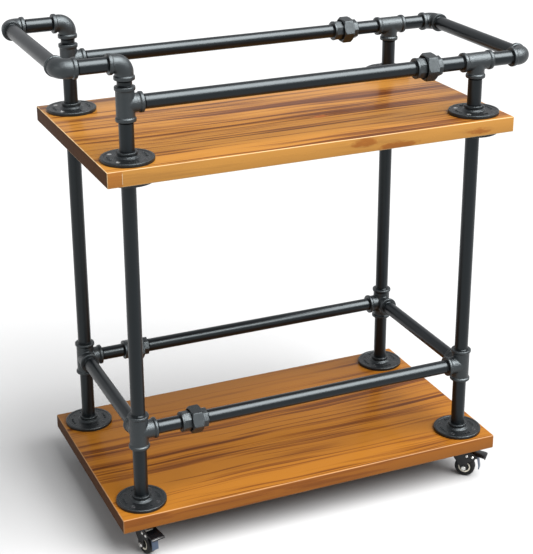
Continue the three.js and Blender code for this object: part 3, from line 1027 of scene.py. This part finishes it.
def flanged_posts():
    """A flange, its pipe and its four screws for each of the twelve flanged nodes."""
    flange, screw = flange_mesh(), screw_mesh()
    count = 0
    for corner in CORNERS:
        for kind, up in (("foot_flange", True), ("post", False), ("rail_post", True)):
            node = f"{kind}_{corner}"
            axis = middle(node)
            face, tip = (low(node).z, high(node).z) if up else (high(node).z, low(node).z)
            direction = Z if up else -Z
            foot = Vector((axis.x, axis.y, face))
            place = Matrix.Translation(foot) @ toward(direction)
            piece(f"{node}_flange", flange, place, FLANGE_IRON, "root", [node])
            pipe(f"{node}_pipe", foot + direction * FLANGE_PIPE_GAP, Vector((axis.x, axis.y, tip)), [node])
            for i, spot in enumerate(screw_places()):
                # Each recess is turned its own way, and some of the upper screws have lost their black.
                count += 1
                spin = Matrix.Rotation(count * SCREW_SPIN, 4, "Z")
                worn = kind == "rail_post" and count % WORN_SCREW_STEP == 0
                finish = ZINC if worn else SCREW_BLACK
                piece(f"{node}_screw_{i + 1}", screw, place @ spot @ spin, finish, "root")


# -------- unions


def collar_mesh():
    """An eight-sided collar with a round ring at its end."""
    over = 3 * MM
    body = polygon_rod("collar", 8, OCTAGON_R, over, COLLAR_LENGTH + over, math.pi / 8, 0.6 * MM)
    ring = [(0, 0, 0), (OCTAGON_R, 0, 1.4 * MM), (OCTAGON_R, COLLAR_RING, 1.4 * MM), (0, COLLAR_RING, 0)]
    body = boolean(body, [solid_lathe("ring", rounded(ring, closed=False))], "UNION")
    return boolean(body, [rod("bore", SOCKET_R, -1 * MM, COLLAR_LENGTH + 5 * MM)])


def nut_mesh(start, end):
    """A hexagon nut with turned corners, a counterbored mouth and room inside for the collar."""
    nut = polygon_rod("nut", 6, NUT_R, start, end, turn=0, bevel=0.5 * MM)
    flat = NUT_R * math.cos(math.pi / 6)
    before, after = start - 1 * MM, end + 1 * MM
    cone = [
        (0, before),
        (flat - 1.8 * MM, before),
        (NUT_R + 0.5 * MM, start + NUT_CHAMFER),
        (NUT_R + 0.5 * MM, end - NUT_CHAMFER),
        (flat - 1.8 * MM, after),
        (0, after),
    ]
    nut = boolean(nut, [solid_lathe("cone", cone, 72)], "INTERSECT")
    rim, depth = flat - 1.4 * MM, 3 * MM
    mouth = [(0, before), (rim, before), (rim - 1.2 * MM, start + depth), (0, start + depth)]
    nut = boolean(nut, [solid_lathe("mouth", mouth)])
    return boolean(nut, [rod("bore", OCTAGON_R + 0.6 * MM, before, after)])


def tail_mesh(start):
    """The eight-sided tail piece that comes out of the nut."""
    tail = polygon_rod("tail", 8, OCTAGON_R, start - 4 * MM, UNION_LENGTH, math.pi / 8, 0.6 * MM)
    return boolean(tail, [rod("bore", SOCKET_R, start - 6 * MM, UNION_LENGTH + 1 * MM)])


def unions():
    """Collar, nut and tail along +X, each rolled as it was left when it was tightened, and the stub."""
    nut_end = COLLAR_LENGTH + NUT_LENGTH
    parts = {
        "collar": (collar_mesh(), COLLAR_ROLL),
        "nut": (nut_mesh(COLLAR_LENGTH - 0.5 * MM, nut_end), NUT_ROLL),
        "tail": (tail_mesh(nut_end), TAIL_ROLL),
    }
    for side in ("front", "rear"):
        for level in ("top", "lower"):
            node = f"{level}_union_{side}"
            rail = middle(f"{level}_rail_{side}")
            if level == "top":
                start = high(f"top_rail_{side}").x - THREAD_DEPTH
                stub = (start + UNION_LENGTH - THREAD_DEPTH, high(node).x)
            else:
                start = low(f"lower_rail_{side}").x + THREAD_DEPTH - UNION_LENGTH
                stub = (low(node).x, start + THREAD_DEPTH)
            place = Matrix.Translation((start, rail.y, rail.z)) @ axes(Y, Z)
            for part, (mesh, angle) in parts.items():
                roll = Matrix.Rotation(angle, 4, "Z")
                piece(f"{node}_{part}", mesh, place @ roll, CAST_IRON, "root", [node])
            ends = [Vector((x, rail.y, rail.z)) for x in stub]
            pipe(f"{node}_stub", *ends, [node])


# -------- casters

PLATE_CORNERS = ((-1, -1), (1, -1), (1, 1), (-1, 1))

# The turn that lays a shape made along Z across the wheel, as the axle lies.
CROSSWISE = Matrix.Rotation(-math.pi / 2, 4, "X")


def both_ends(half):
    """The whole of a turned outline that is the same above and below z = 0."""
    return half + [(radius, -height, easing) for radius, height, easing in half[::-1]]


def cheek_outline():
    """One cheek of the fork: heel, toe round the axle, throat and nose, up to the crown."""
    steps = 9
    points = in_mm((-10, 61.7), (-8, 42)) + [(TRAIL - FORK_TOE, WHEEL_R)]
    for k in range(1, steps):
        a = math.pi + math.pi * k / steps
        points.append((TRAIL + FORK_TOE * math.cos(a), WHEEL_R + FORK_TOE * math.sin(a)))
    points += [(TRAIL + FORK_TOE, WHEEL_R), (TRAIL + FORK_TOE, 31 * MM)]
    points += in_mm((23, 36), (31, 39.6), (36, 42.5), (37, 46), (37, 52), (35, 54.5), (16, 61.7))
    return points


def fork_mesh():
    """Two cheeks hang from a round crown that turns under the ball race."""
    cheeks = []
    for sign in (-1, 1):
        cheek = prism("cheek", cheek_outline(), SHEET, 0.4 * MM)
        cheeks.append(turned(cheek, Matrix.Translation((0, sign * (FORK_HALF + SHEET / 2), 0))))
    crown = [
        (4.3 * MM, CROWN_TOP - SHEET, 0),
        (15.6 * MM, CROWN_TOP - SHEET - 0.6 * MM, 0.8 * MM),
        (16 * MM, CROWN_TOP - 0.8 * MM, 0.6 * MM),
        (14 * MM, CROWN_TOP, 0.8 * MM),
        (4.3 * MM, CROWN_TOP, 0),
    ]
    disc = lathe("crown", rounded(crown), CROWN_ROUND)
    return boolean(cheeks[0], [cheeks[1], disc], "UNION")


def swivel_mount(corner, fixed, top):
    """The plate, the ball race and the kingpin, which stay with the board."""
    outline = [(sx * PLATE_HALF, sy * PLATE_HALF, 4 * MM) for sx, sy in PLATE_CORNERS]
    plate = prism("plate", rounded(outline), SHEET, 0.3 * MM)
    plate = turned(plate, Matrix.Rotation(math.pi / 2, 4, "X"))
    place = fixed @ Matrix.Translation((0, 0, top - SHEET / 2))
    piece(f"plate_{corner}", plate, place, STAMPED, "root", [f"caster_plate_{corner}"])
    cup = [
        (4.2 * MM, CROWN_TOP + 0.4 * MM, 0),
        (13.5 * MM, CROWN_TOP + 0.4 * MM, 1 * MM),
        (15 * MM, CROWN_TOP + 3 * MM, 1.5 * MM),
        (14 * MM, top - SHEET - 0.1 * MM, 1 * MM),
        (4.2 * MM, top - SHEET - 0.1 * MM, 0),
    ]
    race = lathe("race", rounded(cup), CROWN_ROUND)
    piece(f"ball_race_{corner}", race, fixed, STAMPED, "root")
    foot, shoulder, head = CROWN_TOP - 2 * SHEET - 0.3 * MM, 1.8 * MM, top - SHEET - 0.2 * MM
    pin = [
        (0, foot, 0),
        (5 * MM, foot, 1 * MM),
        (6 * MM, foot + shoulder, 0.6 * MM),
        (4 * MM, foot + shoulder, 0),
        (4 * MM, head, 0),
        (0, head, 0),
    ]
    kingpin = solid_lathe("kingpin", rounded(pin, closed=False), 32)
    piece(f"kingpin_{corner}", kingpin, fixed, ZINC, "root")


def plate_screws(corner, fixed, top):
    head = in_mm((0, 0, 0), (3.4, 0, 0.3), (2.6, -1.5, 0.8), (0, -1.9, 0))
    mesh = solid_lathe("head", rounded(head, closed=False), SMALL_ROUND)
    for i, (sx, sy) in enumerate(PLATE_CORNERS):
        spot = fixed @ Matrix.Translation((sx * PLATE_SCREW, sy * PLATE_SCREW, top - SHEET))
        piece(f"plate_screw_{i + 1}_{corner}", mesh, spot, ZINC, "root")


def fork_pieces(corner, place, fork):
    """The fork with its axle bolt, nut and two rivets."""
    body = f"swivel_{corner}"
    piece(f"fork_{corner}", fork, place, STAMPED, body, [f"caster_fork_{corner}"])
    at_hub = place @ Matrix.Translation(HUB) @ CROSSWISE
    shaft_end = FORK_OUTER + 0.2 * MM
    shaft = rod("axle", 3 * MM, -shaft_end, shaft_end, SMALL_ROUND)
    piece(f"axle_{corner}", shaft, at_hub, ZINC, body)
    for side, sign in (("head", 1), ("nut", -1)):
        start, end = sorted((sign * FORK_OUTER, sign * (FORK_OUTER + 3.4 * MM)))
        hexagon = polygon_rod("hexagon", 6, 5 * MM, start, end, turn=0.3, bevel=0.5 * MM)
        piece(f"axle_{side}_{corner}", hexagon, at_hub, ZINC, body)
    for rivet, spot in (("pedal_rivet", PIVOT), ("spacer_rivet", SPACER)):
        seat, tip = FORK_OUTER, FORK_OUTER + 1.6 * MM
        half = [(0, -tip, 0), (1.8 * MM, -tip, 0.6 * MM), (3.2 * MM, -seat, 0.3 * MM), (2 * MM, -seat, 0)]
        mesh = solid_lathe(rivet, rounded(both_ends(half), closed=False), SMALL_ROUND)
        at_spot = place @ Matrix.Translation(spot) @ CROSSWISE
        piece(f"{rivet}_{corner}", mesh, at_spot, ZINC, body)


def wheel_pieces(corner, place):
    """The tyre, a light ring on each side of it and the dark wheel centre."""
    body = f"wheel_{corner}"
    at_hub = place @ Matrix.Translation(HUB) @ CROSSWISE
    half = in_mm((12.6, 7.6, 0.4), (13.2, 8.6, 0.5), (17.6, 8.9, 1.8), (20.6, 6.4, 1.6))
    outline = half + [(WHEEL_R, 0, 0)] + both_ends(half)[len(half):]
    tyre = lathe("tyre", rounded(outline), FINE_ROUND)
    piece(f"tyre_{corner}", tyre, at_hub, RUBBER, body, [f"caster_wheel_{corner}"])
    for side, sign in (("outer", 1), ("inner", -1)):
        ring = in_mm((9.6, 6.2, 0.3), (9.9, 8.0, 0.5), (12.2, 8.4, 0.5), (12.5, 6.2, 0.3))
        ring = [(radius, sign * height, easing) for radius, height, easing in ring]
        mesh = lathe("ring", rounded(ring), CROWN_ROUND)
        piece(f"wheel_ring_{side}_{corner}", mesh, at_hub, CREAM, body)
    core = both_ends(in_mm((3.3, 8.8, 0.3), (5.5, 8.8, 0.5), (6, 5.8, 0.8), (12.5, 5.6, 0)))
    core = lathe("core", rounded(core), CROWN_ROUND)
    piece(f"wheel_centre_{corner}", core, at_hub, HUB_BLACK, body)


def pedal_outline():
    """The foot plate in section: a sheet that runs out from the pivot and curls over at its tip."""
    upper = [(26, 53.6), (38, 54.0), (48, 53.4), (54, 52.6), (57.4, 51.0), (58, 48.6)]
    lower = [(56.2, 48.6), (55.6, 50.2), (53, 50.9), (47, 51.7), (38, 52.2), (26, 51.8)]
    return rounded(eased(upper + lower, 0.5), 2)


def brake_pieces(corner, place):
    """The pedal, its two ears on the pivot rivet and the shoe that hangs behind the tyre."""
    body = f"brake_{corner}"
    foot = prism("foot", pedal_outline(), PEDAL_W, 0.5 * MM)
    piece(f"pedal_{corner}", foot, place, STAMPED, body, [f"brake_pedal_{corner}"])
    lug = rounded(eased([(27, 44.7), (34, 43.0), (40, 44.6), (42, 52.0), (27, 52.0)], 1.5), 3)
    bore = rod("bore", 2.4 * MM, -PEDAL_W, PEDAL_W, SMALL_ROUND)
    bore = turned(bore, Matrix.Translation(PIVOT) @ CROSSWISE)
    for side, sign in (("near", -1), ("far", 1)):
        ear = boolean(prism("ear", lug, EAR_T, 0.3 * MM), [bore])
        spot = place @ Matrix.Translation((0, sign * (SHOE_W - EAR_T) / 2, 0))
        piece(f"pedal_ear_{side}_{corner}", ear, spot, STAMPED, body)
    back = [(37, 52.2), (39, 52.2), (42, 43), (44.8, 26), (45, 20.6)]
    front = [(43, 19.2), (42.4, 21), (43, 26), (40.2, 42)]
    shoe = prism("shoe", rounded(eased(back + front, 1), 3), SHOE_W - 4.4 * MM, 0.4 * MM)
    piece(f"brake_shoe_{corner}", shoe, place, SHOE_ZINC, body)


def joint_axis(name):
    for joint in frame["record"]["behaviour"]["joints"]:
        if joint["name"] == name:
            return joint["axis"]
    raise ValueError(name)


def caster(corner, fork):
    """One caster, turned so that its X runs the way its pedal points."""
    spin_axis = Vector(joint_axis(f"wheel_{corner}_spin"))
    heading = Vector((spin_axis.y, -spin_axis.x, 0)).normalized()
    plate = f"caster_plate_{corner}"
    axis, top = middle(plate), high(plate).z
    fixed = Matrix.Translation((axis.x, axis.y, 0))
    place = fixed @ axes(heading, Z.cross(heading))
    swivel_mount(corner, fixed, top)
    fork_pieces(corner, place, fork)
    wheel_pieces(corner, place)
    brake_pieces(corner, place)
    plate_screws(corner, fixed, top)


# -------- the cart


def pipe_nodes():
    """The nodes that are one straight pipe each."""
    nodes = ["handle_bar", "cross_bar", "lower_side_rail_left", "lower_side_rail_right"]
    for side in ("front", "rear"):
        nodes += [f"{kind}_{side}" for kind in ("lower_rail", "top_rail", "handle_arm", "cross_bar_arm")]
    return nodes


make_camera()
make_studio()
make_floor()
board("upper_board", UPPER_WOOD, easing=1.2 * MM, steps=3)
board("lower_board", LOWER_WOOD, easing=2.4 * MM, steps=4)
for node in pipe_nodes():
    straight_pipe(node)
top_fittings(elbow_mesh(), tee_mesh("tee", TEE_REACH, X, [Y]))
side_tee = (SIDE_TEE_BODY_R, SIDE_TEE_BEAD_R, SIDE_TEE_BEAD_W)
lower_fittings(tee_mesh("side_tee", SIDE_TEE_REACH, Z, [X, Y], *side_tee))
flanged_posts()
unions()
fork = fork_mesh()
for corner in CORNERS:
    caster(corner, fork)

boxes = {"cad": CAD_BOX, "visual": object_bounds()}
{key: [list(map(float, corner)) for corner in box] for key, box in boxes.items()}
